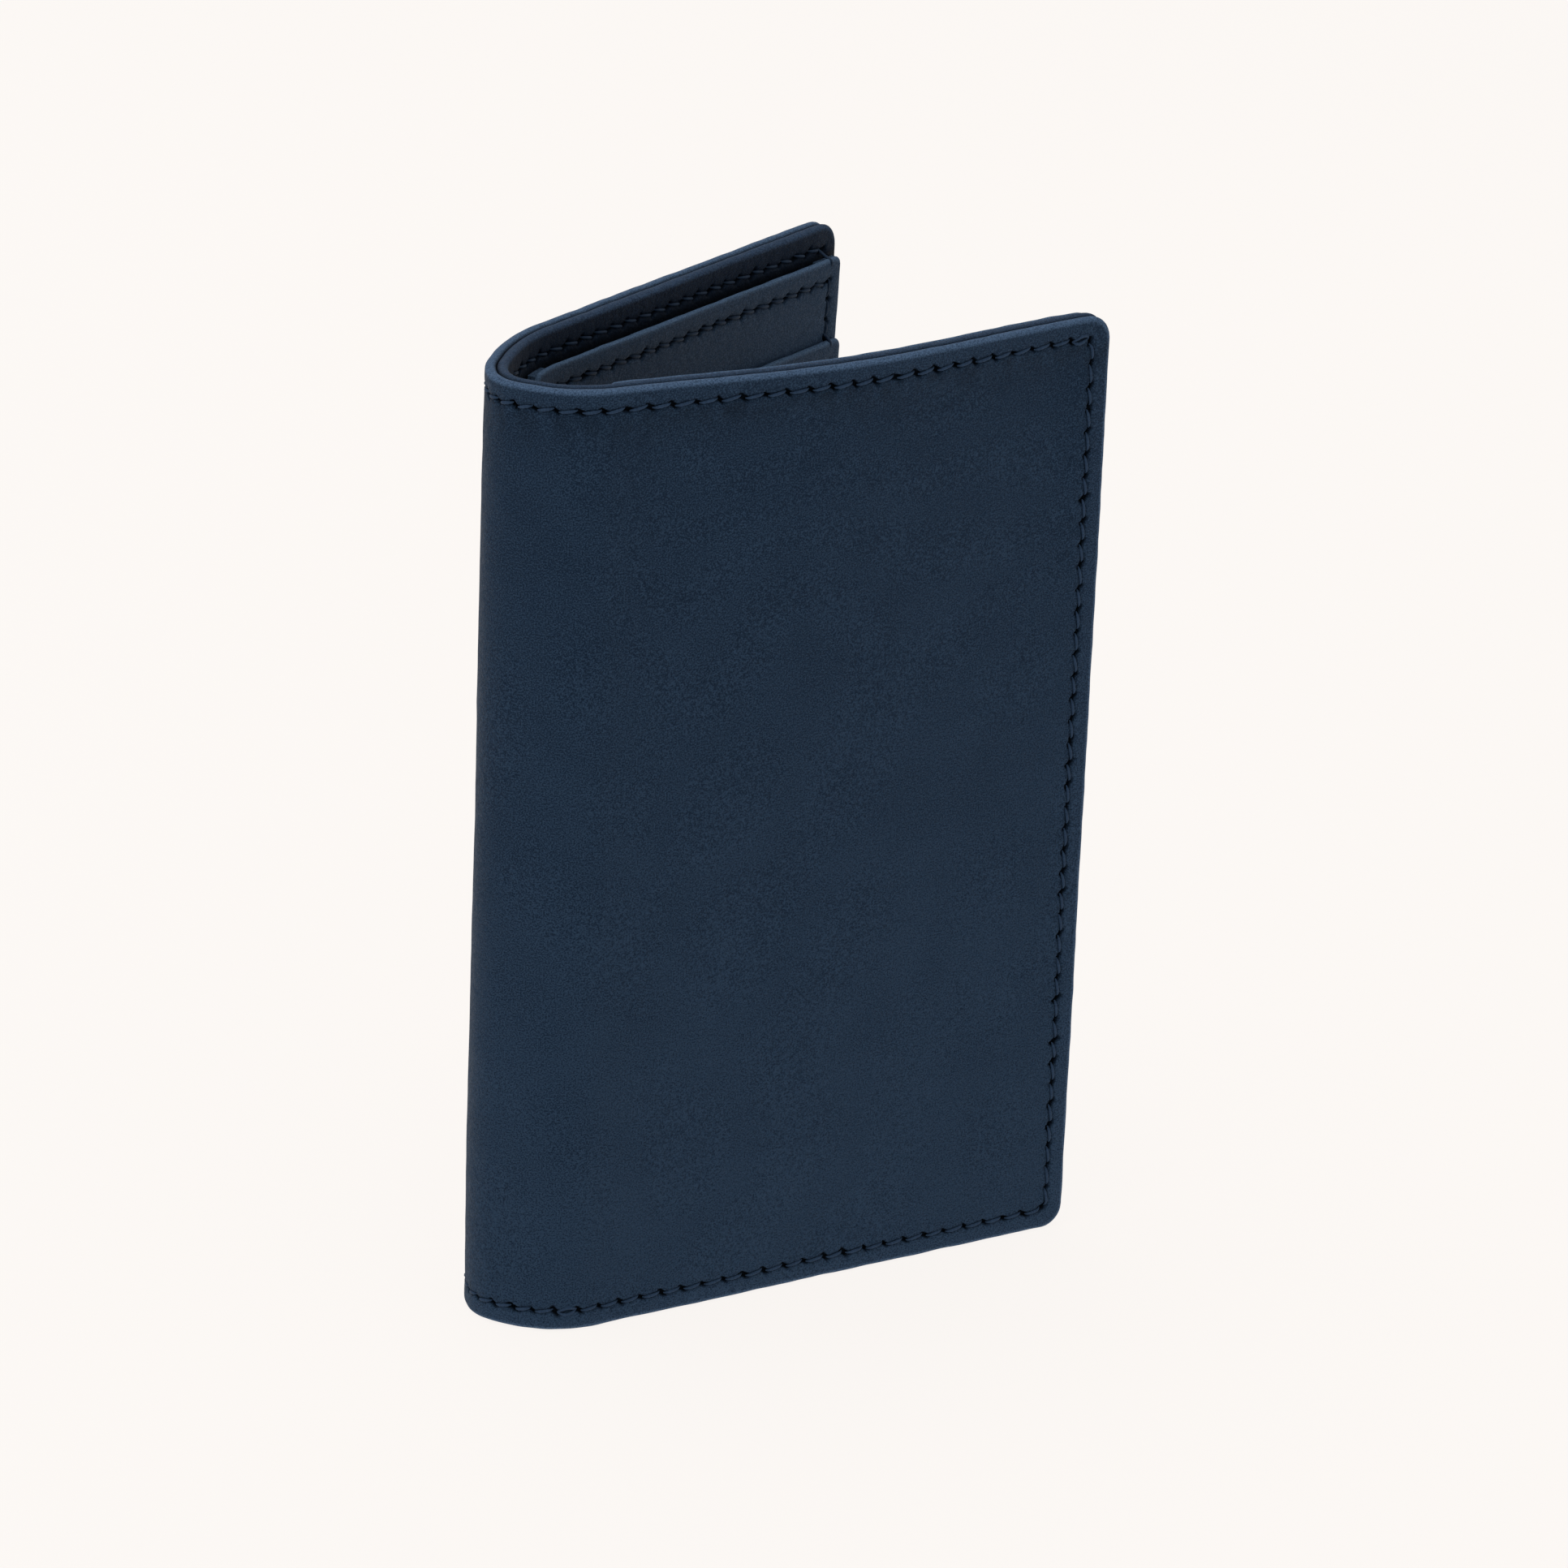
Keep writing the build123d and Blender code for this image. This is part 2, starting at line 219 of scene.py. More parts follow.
def uneven(s, z, table, size):
    """The sum of a table's waves at each place, with a mean strength of about size."""
    total = sum(np.sin(a * s + b * z + c) for a, b, c in table.T)
    return size * total / math.sqrt(table.shape[1])


# --- Sheets of leather ---

# A sheet's mesh: a dense strip along the border, whose lines lie at FACE_LINES on the visible face
# and go round the rim, and a plain grid inside it
INNER = 5.5
GRID_INSET = 7.0
BACK_LINE = 2.2
TIP_RADIUS = 0.15
FADE = 8.0
GRID_STEP = 2.5
FOLD_STEP = 0.6
TABLE_STEP = 0.05
LEAST_STEP = 0.045
CUT_STEP = 0.04
TINY = 1e-9
FACE_LINES = np.array(
    [5.5, 4.7, 4.1, 3.75, 3.5, 3.32, 3.18, 3.06, 2.94, 2.82, 2.68, 2.5, 2.25, 1.9, 1.45, 1.1, 0.85, 0.68]
)
RIM_ANGLES = np.radians(np.arange(80, -81, -20))
HOLE_STEPS = np.array([0.06, 0.18, 0.3, 0.44, 0.6, 0.85, 1.2])
HOLE_OFFSETS = np.append(-HOLE_STEPS[::-1], HOLE_STEPS)
DIRECTIONS = ((1, 0), (0, 1), (-1, 0), (0, -1))

# Relief of the visible face, as heights and the widths that they fall off over
SLOW_SWELL = 0.07
FINE_SWELL = 0.018
PUFF_INSET = 1.55
PUFF_WIDTH = 0.85
PULL = 0.1
PULL_WIDTH = 1.8
PUCKER = 0.04
PUCKER_WIDTH = 1.6
WEAR = 0.035
WEAR_WIDTH = 0.9
RIM_SWELL = 0.03
DIP_FALL = 5.0
DIP_LENGTH = 26.0
SPINE_MIDDLE = 91.0
SPINE_HALF = 16.0

# Values that the materials read: hollow, painted shade from 0 to 1 in pits, channels and grooves,
# and rim, for edges paler from wear and a painted highlight
PIT_SHADE = 1.1
CHANNEL_SHADE = 0.6
SEAM_DARKENING = 0.3
SEAM_DARKENING_WIDTH = 0.8
GROOVE_FROM = 0.5
GROOVE_SHADE = 1.9
RIM_END = 1.3
RIM_FADE = 0.6
BAND_GAP = 0.2
BAND_FADE = 0.5


class Sheet:
    """A rectangle of leather in (s, z) with rounded corners and a seam round it.

    Sides and corners go round from the bottom: bottom, far end, top, near end. seam holds the
    seam's inset on each side, radii the corner that ends each side. back and front give the
    depths of the hidden and the visible face. rim is how far the rounded edge reaches in, puff
    how far the strip outside the seam swells, dip how far the face falls in below the top seam,
    band how much paler the strip outside the seam is, and shade a function giving painted shade.
    """

    def __init__(
        self,
        span,
        heights,
        radii,
        seam,
        back,
        front,
        seed,
        rim=0.6,
        puff=0.03,
        dip=0.0,
        band=0.0,
        shade=lambda s, z: 0 * s,
    ):
        self.span = span
        self.heights = heights
        self.radii = radii
        self.seam = seam
        self.back = back
        self.front = front
        self.rim = rim
        self.puff = puff
        self.dip = dip
        self.band = band
        self.shade = shade
        (low, high), (bottom, top) = span, heights
        self.corners = ((low, bottom), (high, bottom), (high, top), (low, top))
        self.lengths = (high - low, top - bottom, high - low, top - bottom)
        self.begins = []
        self.around = 0.0
        for side in range(4):
            self.begins.append(self.around)
            self.around += self.straight(side) + radii[side] * math.pi / 2
        self.random = np.random.default_rng(seed)
        self.place_holes()

    def straight(self, side):
        """Length of a side between its corners."""
        return self.lengths[side] - self.radii[side - 1] - self.radii[side]

    def ring(self, tau, inset):
        """(s, z) at a distance round the border and an inset from the edge."""
        tau, inset = np.broadcast_arrays(np.asarray(tau, float) % self.around, inset)
        s, z = np.zeros(tau.shape), np.zeros(tau.shape)
        for side in range(4):
            (s0, z0), (ds, dz) = self.corners[side], DIRECTIONS[side]
            ns, nz = DIRECTIONS[(side + 1) % 4]
            first, last = self.radii[side - 1], self.radii[side]
            length, begin, run = self.lengths[side], self.begins[side], self.straight(side)
            share = ramp(inset, INNER)
            near = first + (TIP_RADIUS - first) * share
            far = last + (TIP_RADIUS - last) * share
            along = tau - begin + first
            at_start = np.clip(1 - (along - first) / FADE, 0, 1)
            at_end = np.clip(1 - (length - last - along) / FADE, 0, 1)
            along = along + (inset + near - first) * at_start - (inset + far - last) * at_end
            turn = np.clip((tau - begin - run) / last, 0, math.pi / 2)
            reach = inset + far
            on_arc = tau >= begin + run
            along = np.where(on_arc, length - reach + far * np.sin(turn), along)
            away = np.where(on_arc, reach - far * np.cos(turn), inset)
            here = (tau >= begin) & (tau < begin + run + last * math.pi / 2 + TINY)
            s = np.where(here, s0 + ds * along + ns * away, s)
            z = np.where(here, z0 + dz * along + nz * away, z)
        return s, z

    def seam_inset(self, tau):
        """The seam's inset, which changes from side to side round the corners."""
        tau = np.asarray(tau, float) % self.around
        knots, values = [], []
        for side in range(4):
            knots += [self.begins[side], self.begins[side] + self.straight(side)]
            values += [self.seam[side]] * 2
        return np.interp(tau, [*knots, self.around], [*values, self.seam[0]])

    def tau_at(self, s, side):
        """Distance round the border of a station on the bottom or the top side."""
        begin = self.begins[side] - self.radii[side - 1]
        return begin + (s - self.span[0] if side == 0 else self.span[1] - s)

    def place_holes(self):
        """Stitch holes, evenly between the corners and the cuts."""
        self.table_tau = np.linspace(0, self.around, int(self.around / TABLE_STEP))
        s, z = self.ring(self.table_tau[:-1], self.seam_inset(self.table_tau[:-1]))
        s, z = np.append(s, s[0]), np.append(z, z[0])
        self.table_run = np.append(0, np.cumsum(np.hypot(np.diff(s), np.diff(z))))
        stops = [
            self.begins[side] + self.straight(side) + self.radii[side] * math.pi / 4
            for side in range(4)
        ]
        self.cut_taus = [
            self.tau_at(cut, side)
            for side in (0, 2)
            for cut in CUTS
            if self.span[0] + GRID_INSET < cut < self.span[1] - GRID_INSET
        ]
        stops = np.sort(np.interp(stops + self.cut_taus, self.table_tau, self.table_run))
        self.length = self.table_run[-1]
        holes = []
        for low, high in zip(stops, [*stops[1:], stops[0] + self.length]):
            count = max(1, round((high - low) / PITCH))
            step = (high - low) / count
            jitter = self.random.uniform(-PITCH_JITTER, PITCH_JITTER, count) * (step > PITCH / 2)
            jitter[0] = 0
            holes += list(low + step * np.arange(count) + jitter)
        self.holes = np.sort(np.array(holes) % self.length)
        self.hole_size = self.random.uniform(*HOLE_SIZES, len(holes))
        self.hole_turn = HOLE_TURN + self.random.normal(0, HOLE_TURN_SPREAD, len(holes))
        self.hole_depth = HOLE_DEPTH * self.random.uniform(*HOLE_DEPTHS, len(holes))

    def tau_of(self, run):
        """Distance round the border at a distance along the seam."""
        return np.interp(np.asarray(run) % self.length, self.table_run, self.table_tau)

    def columns(self):
        """Distances round the border of the mesh's columns, close together at each hole."""
        runs = (self.holes[:, None] + HOLE_OFFSETS).ravel() % self.length
        steps = np.diff(np.append(self.holes, self.holes[0] + self.length))
        gaps = (self.holes + steps / 2) % self.length
        taus = np.sort(np.concatenate([self.tau_of(runs), self.tau_of(gaps)]))
        taus = taus[np.append(True, np.diff(taus) > LEAST_STEP)]
        for cut in self.cut_taus:
            taus = np.append(taus[np.abs(taus - cut) > CUT_STEP], cut)
        return np.sort(taus)

    def relief(self, tau, lateral):
        """Height of the face round the seam, and how dark it is painted, from 0 to 1: painted shade in
        holes and channel.
        """
        run = np.interp(tau, self.table_tau, self.table_run)
        after = np.searchsorted(self.holes, run)
        low = np.append(self.holes[-1] - self.length, self.holes)[after]
        high = np.append(self.holes, self.holes[0] + self.length)[after]
        share = (run - low) / (high - low)
        nearest = np.where(share < 0.5, after - 1, after) % len(self.holes)
        size, turn = self.hole_size[nearest], self.hole_turn[nearest]
        along = np.where(share < 0.5, run - low, run - high)
        centre = SLANT * (2 * share - 1)
        channel = bell(lateral - centre, CHANNEL_WIDTH)
        across = along * np.sin(turn) + lateral * np.cos(turn)
        along = along * np.cos(turn) - lateral * np.sin(turn)
        edge = ((along / HOLE_HALF[0]) ** 4 + (across / HOLE_HALF[1]) ** 4) ** 0.25 / size
        pit = smooth((HOLE_RIM - edge) / HOLE_WALL)
        texture = uneven(run, 3 * lateral, ROUGH, 1.0)
        band = self.puff * bell(lateral + PUFF_INSET, PUFF_WIDTH)
        pull = PULL * np.exp(-np.abs(lateral) / PULL_WIDTH)
        pucker = PUCKER * np.cos(2 * math.pi * share) * bell(lateral, PUCKER_WIDTH)
        wear = WEAR * bell(lateral, WEAR_WIDTH) * texture
        sunk = band - pull - pucker + wear - CHANNEL_DEPTH * channel
        # An uneven darker line along the middle of the seam
        seam_darkening = SEAM_DARKENING * np.clip(texture, 0, 1) * bell(lateral, SEAM_DARKENING_WIDTH)
        # Painted shade: darker in the awl holes and the sunk channel, where shade falls
        hollow = np.clip(PIT_SHADE * pit + CHANNEL_SHADE * channel + seam_darkening, 0, 1)
        return sunk - self.hole_depth[nearest] * pit, hollow

    def face(self, s, z, height):
        """Depth at a height over the visible face."""
        back, front = self.back(s, z), self.front(s, z)
        return front + np.sign(front - back) * height

    def swell(self, s, z):
        """Slow unevenness, and the hollow below the top seam, where the leather isn't held."""
        below = self.heights[1] - INSET - z
        from_side = np.minimum(s - self.span[0], self.span[1] - s) - INSET
        from_spine = np.abs(s - SPINE_MIDDLE) - SPINE_HALF
        fall = ramp(np.minimum(from_side, from_spine / 2), DIP_FALL) * ramp(below, DIP_FALL)
        dip = smooth(fall) * bell(np.clip(below, 0, None), DIP_LENGTH)
        swell = uneven(s, z, SLOW, SLOW_SWELL) + uneven(s, z, FINE, FINE_SWELL)
        return swell - self.dip * dip

    def border(self):
        """The dense border strip: s, z, depth, hollow and rim arrays, a row for each column."""
        tau = self.columns()[:, None]
        scale = self.seam_inset(tau) / INSET
        lateral = np.broadcast_to(FACE_LINES - INSET, (len(tau), len(FACE_LINES)))
        height, hollow = self.relief(tau, lateral)
        rim_inset = self.rim * (1 - np.cos(RIM_ANGLES))
        rim_inset = rim_inset + uneven(tau, 0 * RIM_ANGLES, FINE, RIM_SWELL)
        back_inset = np.array([BACK_LINE, INNER]) * np.ones_like(tau)
        inset = np.concatenate([FACE_LINES * scale, rim_inset, back_inset], axis=1)
        s, z = self.ring(tau, inset)
        lines = len(FACE_LINES)
        up = np.concatenate([np.ones(lines), (1 + np.sin(RIM_ANGLES)) / 2, np.zeros(2)])
        fade = np.clip(2 * up - 1, 0, 1)
        raised = self.swell(s, z) * fade
        raised[:, :lines] += height
        raised[:, lines:] += height[:, -1:] * fade[lines:]
        back, front = self.back(s, z), self.front(s, z)
        depth = back + (front - back) * up + np.sign(front - back) * raised
        hollows = np.zeros(s.shape)
        hollows[:, :lines] = hollow
        # Painted shade in the groove where the rounded edge turns in towards the hidden face
        hollows[:, lines:-2] = np.clip(-np.sin(RIM_ANGLES) - GROOVE_FROM, 0, 1) * GROOVE_SHADE
        # The rounded edge is paler from wear and a painted highlight; band pales the strip outside the
        # seam too
        rims = ramp(RIM_END * self.rim - inset, RIM_FADE * self.rim)
        pale_share = self.band * ramp(self.seam_inset(tau) - BAND_GAP - inset, BAND_FADE)
        rims = np.maximum(rims, pale_share)
        rims[:, -2:] = 0
        return s, z, depth, np.maximum(hollows, self.shade(s, z)), rims

    def grid_lines(self):
        """Stations and heights of the grid inside the border, closer together in the fold."""
        (low, high), (bottom, top) = self.span, self.heights
        low, high = low + GRID_INSET, high - GRID_INSET
        stops = [low, *[v for v in (FOLD_START, *CUTS, FOLD_END) if low < v < high], high]
        across = [low]
        for a, b in zip(stops, stops[1:]):
            step = FOLD_STEP if a >= FOLD_START and b <= FOLD_END else GRID_STEP
            across += list(np.linspace(a, b, max(1, math.ceil((b - a) / step)) + 1)[1:])
        count = max(1, math.ceil((top - bottom - 2 * GRID_INSET) / GRID_STEP))
        up = np.linspace(bottom + GRID_INSET, top - GRID_INSET, count + 1)
        return np.array(across), up

    def build(self):
        """Vertices (s, z, depth), hollow and rim values, and faces of the closed sheet."""
        s, z, depth, hollow, rim = self.border()
        count, lines = s.shape
        number = np.arange(count * lines).reshape(count, lines)
        following = np.roll(number, -1, axis=0)
        faces = np.stack(
            [number[:, :-1], following[:, :-1], following[:, 1:], number[:, 1:]], axis=-1
        )
        faces = faces.reshape(-1, 4).tolist()
        points = [np.stack([s, z, depth], axis=-1).reshape(-1, 3)]
        across, up = self.grid_lines()
        gs, gz = np.meshgrid(across, up, indexing="ij")
        loop, loop_tau = self.grid_loop(across, up)
        for line, depths in (
            (0, self.face(gs, gz, self.swell(gs, gz))),
            (lines - 1, self.back(gs, gz)),
        ):
            start = sum(len(p) for p in points)
            points.append(np.stack([gs, gz, depths], axis=-1).reshape(-1, 3))
            cells = start + np.arange(gs.size).reshape(gs.shape)
            faces += grid_faces(cells).tolist()
            faces += zip_loops(number[:, line], self.columns(), start + loop, loop_tau, self.around)
        points = np.concatenate(points)
        extra = len(points) - hollow.size
        hollow = np.append(hollow.ravel(), self.shade(*points[-extra:, :2].T))
        rim = np.append(rim.ravel(), np.zeros(extra))
        return points, hollow, rim, faces

    def grid_loop(self, across, up):
        """Border of the grid, as vertex numbers and distances round the border."""
        rows = len(up)
        index = np.arange(len(across) * rows).reshape(len(across), rows)
        low, bottom = self.span[0], self.heights[0]
        high, top = self.span[1], self.heights[1]
        loop, taus = [], []
        sides = (
            (index[:-1, 0], across[:-1] - low),
            (index[-1, :-1], up[:-1] - bottom),
            (index[:0:-1, -1], high - across[:0:-1]),
            (index[0, :0:-1], top - up[:0:-1]),
        )
        for side, (numbers, along) in enumerate(sides):
            begin = self.begins[side] - self.radii[side - 1]
            corner = self.begins[side] - self.radii[side - 1] * math.pi / 4
            loop += list(numbers)
            taus += [corner, *(begin + along[1:])]
        return np.array(loop), np.array(taus)


def grid_faces(cells):
    """Four-cornered faces of a grid of vertex numbers."""
    faces = np.stack([cells[:-1, :-1], cells[1:, :-1], cells[1:, 1:], cells[:-1, 1:]], -1)
    return faces.reshape(-1, 4)


def zip_loops(outer, outer_tau, inner, inner_tau, around):
    """Triangles between two closed loops that run the same way."""
    inner = np.append(inner, inner[0])
    inner_tau = np.append(inner_tau, inner_tau[0] + around)
    start = int(np.searchsorted(outer_tau, inner_tau[0] % around)) % len(outer)
    outer = np.append(np.roll(outer, -start), outer[start])
    turned = np.roll(outer_tau, -start)
    turned = np.where(turned < turned[0], turned + around, turned)
    turned = np.append(turned, turned[0] + around)
    if turned[0] > inner_tau[0] + around / 2:
        turned = turned - around
    faces, i, j = [], 0, 0
    while i < len(outer) - 1 or j < len(inner) - 1:
        step_outer = j == len(inner) - 1 or (
            i < len(outer) - 1 and turned[i + 1] <= inner_tau[j + 1] + TINY
        )
        if step_outer:
            faces.append([int(outer[i]), int(outer[i + 1]), int(inner[j])])
            i += 1
        else:
            faces.append([int(outer[i]), int(inner[j + 1]), int(inner[j])])
            j += 1
    return faces


# --- Meshes and pieces ---


def new_object(name, mesh, material):
    """A mesh as an object of the scene, with its material."""
    piece = bpy.data.objects.new(name, mesh)
    bpy.context.scene.collection.objects.link(piece)
    mesh.materials.append(material)
    return piece


def add_values(mesh, plan, hollow, rim):
    """Places on the leather, and the painted shade and paler-edge values that the materials read."""
    layer = mesh.attributes.new("plan", "FLOAT_VECTOR", "POINT")
    layer.data.foreach_set("vector", np.asarray(plan, np.float32).ravel())
    for name, values in (("hollow", hollow), ("rim", rim)):
        layer = mesh.attributes.new(name, "FLOAT", "POINT")
        layer.data.foreach_set("value", np.asarray(values, np.float32))


def closed_mesh(name, points, faces):
    """A mesh in metres whose faces all point outwards."""
    mesh = bpy.data.meshes.new(name)
    mesh.from_pydata((points * MM).tolist(), [], faces)
    work = bmesh.new()
    work.from_mesh(mesh)
    bmesh.ops.recalc_face_normals(work, faces=work.faces)
    work.to_mesh(mesh)
    work.free()
    mesh.shade_smooth()
    return mesh


def read(collection, field, width, kind):
    """One field of all a mesh's elements, as an array."""
    values = np.empty(len(collection) * width, kind)
    collection.foreach_get(field, values)
    return values.reshape(-1, width) if width > 1 else values


def blend_line(zone, plan, layer_depth):
    """Start and end of a zone's bend, clear of both cut faces whatever their depth."""
    low, high = ZONES[zone][:2]
    low, high = max(low, BLEND_FROM), min(high, BLEND_TO)
    first, last = (place(v, 0.0, layer_depth) for v in (low, high))
    across = (last - first) / np.linalg.norm(last - first)
    flat = place(plan[:, 0], 0.0, plan[:, 2]) @ across
    starts = flat[np.abs(plan[:, 0] - low) < ON_CUT] if zone else np.array([first @ across])
    ends = np.array([last @ across])
    if zone < LAST_ZONE:
        ends = flat[np.abs(plan[:, 0] - high) < ON_CUT]
    start = first + across * (starts.max() + BLEND_MARGIN - first @ across)
    end = last - across * (last @ across - ends.min() + BLEND_MARGIN)
    return start * MM, end * MM


def split_sheet(name, sheet, material, layer, nodes):
    """Build a full-length sheet and cut it into one piece for each zone."""
    points, hollow, rim, faces = sheet.build()
    whole = closed_mesh(name, place(*points.T), faces)
    normals = read(whole.vertices, "normal", 3, np.float32)
    loops = read(whole.loops, "vertex_index", 1, np.int32)
    starts = read(whole.polygons, "loop_start", 1, np.int32)
    totals = read(whole.polygons, "loop_total", 1, np.int32)
    middles = np.add.reduceat(points[loops, 0], starts) / totals
    zone_of = np.searchsorted(CUTS, middles)
    for zone, (_, _, first, second) in enumerate(ZONES):
        chosen = np.flatnonzero(zone_of == zone)
        corners = [loops[starts[f] : starts[f] + totals[f]] for f in chosen]
        used, local = np.unique(np.concatenate(corners), return_inverse=True)
        stops = np.cumsum(totals[chosen])[:-1]
        cells = [c.tolist() for c in np.split(local, stops)]
        mesh = bpy.data.meshes.new(f"{name}_{zone + 1}")
        mesh.from_pydata((place(*points[used].T) * MM).tolist(), [], cells)
        add_values(mesh, points[used], hollow[used], rim[used])
        cap_cuts(mesh)
        mesh.shade_smooth()
        smooth_across(mesh, normals[used], len(cells))
        piece = new_object(f"{name}_{zone + 1}", mesh, material)
        blend_line(zone, points[used], sheet.back(0, 0) if layer else 0.0)
        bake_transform(piece)
        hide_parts(*nodes[zone])
    bpy.data.meshes.remove(whole)


def cap_cuts(mesh):
    """Close the cut ends of a piece."""
    work = bmesh.new()
    work.from_mesh(mesh)
    open_edges = [edge for edge in work.edges if edge.is_boundary]
    bmesh.ops.holes_fill(work, edges=open_edges, sides=0)
    work.to_mesh(mesh)
    work.free()


def smooth_across(mesh, normals, face_count):
    """Shade the leather as if it weren't cut, and the caps flat."""
    loops = read(mesh.loops, "vertex_index", 1, np.int32)
    custom = normals[loops].copy()
    for face in list(mesh.polygons)[face_count:]:
        for loop in face.loop_indices:
            custom[loop] = face.normal
    mesh.normals_split_custom_set(custom.tolist())


def whole_sheet(name, sheet, material, nodes, bend=None, body=None):
    """A sheet made as a single piece, which stays where it stands or rides on one body."""
    points, hollow, rim, faces = sheet.build()
    mesh = closed_mesh(name, place(*points.T), faces)
    add_values(mesh, points, hollow, rim)
    piece = new_object(name, mesh, material)
    attach(piece, bend, body)
    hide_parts(*nodes)


def attach(piece, bend=None, body=None):
    """Bake a piece's placing into its mesh when bend is given, or let it ride on a body."""
    if bend is None:
        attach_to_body(piece, body)
    else:
        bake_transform(piece)


# --- Thread ---

# A stitch is a closed tube of twisted thread that arches from hole to hole. THREAD is its half
# width and half height; TILTS and LOFT are how unevenly the stitches lie.
THREAD = (0.25, 0.2)
THREAD_REACH = 0.36
STRANDS = 3
STRAND_RELIEF = 0.1
TWIST = 1.4
TIP_CUT = 0.02
TIP_ROUNDNESS = 0.3
AROUND = 10
ALONG = 13
TILTS = (0.7, 1.35)
LOFT = 0.06
ARCH_FOOT = -0.52
ARCH_RISE = 0.4
ARCH_POWER = 3.2


def tubes(centres, outward):
    """Closed tubes of thread along rows of points: vertices and faces."""
    width, height = THREAD
    rows, steps = centres.shape[:2]
    tangent = np.gradient(centres, axis=1)
    tangent /= np.linalg.norm(tangent, axis=2, keepdims=True)
    side = np.cross(tangent, outward)
    side /= np.linalg.norm(side, axis=2, keepdims=True)
    lift = np.cross(side, tangent)
    angle = np.linspace(0, 2 * math.pi, AROUND, endpoint=False)
    turn = TWIST * np.linspace(0, 1, steps)[None, :, None] * 2 * math.pi
    lobes = 1 + STRAND_RELIEF * np.cos(STRANDS * (angle - turn))
    ends = np.sin(math.pi * np.linspace(TIP_CUT, 1 - TIP_CUT, steps)) ** TIP_ROUNDNESS
    radius = lobes * ends[None, :, None]
    ring = (
        centres[:, :, None]
        + (width * radius * np.cos(angle))[..., None] * side[:, :, None]
        + (height * radius * np.sin(angle))[..., None] * lift[:, :, None]
    )
    points = ring.reshape(-1, 3)
    number = np.arange(rows * steps * AROUND).reshape(rows, steps, AROUND)
    beside = np.roll(number, -1, axis=2)
    quads = np.stack([number[:, :-1], number[:, 1:], beside[:, 1:], beside[:, :-1]], axis=-1)
    faces = quads.reshape(-1, 4).tolist()
    faces += number[:, 0, ::-1].tolist() + number[:, -1].tolist()
    return points, faces


def outward_at(s, sign):
    """Unit vectors out of the visible face: into the holder for a sign of 1, out of it for -1."""
    heading = walk(s)[2]
    return sign * np.stack([-np.sin(heading), np.cos(heading), 0 * heading], axis=-1)


def stitch_rows(sheet, keep, doubled=()):
    """Centre lines of the stitches of a sheet that pass keep(s, z), and the sign of their outward side.

    The stitch nearest to each place in doubled is sewn twice, with its two strands apart.
    """
    low = sheet.holes
    high = np.append(low[1:], low[0] + sheet.length)
    hole_s, hole_z = sheet.ring(sheet.tau_of((low + high) / 2), INSET)
    twins = [int(np.argmin(np.hypot(hole_s - s, hole_z - z))) for s, z in doubled]
    bulge = np.zeros(len(low))
    bulge[twins] = TWIN_BULGE
    low, high = np.append(low, low[twins]), np.append(high, high[twins])
    bulge = np.append(bulge, -bulge[twins])[:, None]
    share = np.linspace(0, 1, ALONG)
    run = low[:, None] + THREAD_REACH + (high - low - 2 * THREAD_REACH)[:, None] * share
    tau = sheet.tau_of(run)
    tilt = SLANT * sheet.random.uniform(*TILTS, len(low))[:, None]
    loft = sheet.random.uniform(-LOFT, LOFT, len(low))[:, None]
    lateral = tilt * (2 * share - 1) + bulge * np.sin(math.pi * share)
    inset = sheet.seam_inset(tau) * (1 + lateral / INSET)
    s, z = sheet.ring(tau, inset)
    arch = 1 - np.abs(2 * share - 1) ** ARCH_POWER
    height = ARCH_FOOT + (ARCH_RISE + loft) * arch + sheet.swell(s, z)
    middle = ALONG // 2
    kept = keep(s[:, middle], z[:, middle])
    s, z, height = s[kept], z[kept], height[kept]
    depth = sheet.face(s, z, height)
    sign = np.sign(sheet.front(s, z) - sheet.back(s, z))[..., None]
    return s, z, depth, sign


def sew(name, parts, material, layer, nodes):
    """Thread pieces for each zone from rows of (s, z, depth, sign). The layer is not used."""
    s, z, depth, sign = (np.concatenate([part[i] for part in parts]) for i in range(4))
    zone_of = np.searchsorted(CUTS, s[:, ALONG // 2])
    for zone in sorted(set(zone_of)):
        chosen = zone_of == zone
        centres = place(s[chosen], z[chosen], depth[chosen])
        outward = outward_at(s[chosen], sign[chosen])
        points, faces = tubes(centres, outward)
        mesh = bpy.data.meshes.new(f"{name}_{zone + 1}")
        mesh.from_pydata((points * MM).tolist(), [], faces)
        mesh.shade_smooth()
        plan = np.repeat(np.stack([s, z, depth], -1)[chosen].reshape(-1, 3), AROUND, axis=0)
        add_values(mesh, plan, np.zeros(len(plan)), np.zeros(len(plan)))
        piece = new_object(f"{name}_{zone + 1}", mesh, material)
        attach(piece, bend=(layer, zone))
        if nodes.get(zone):
            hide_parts(*nodes[zone])


# --- Materials ---


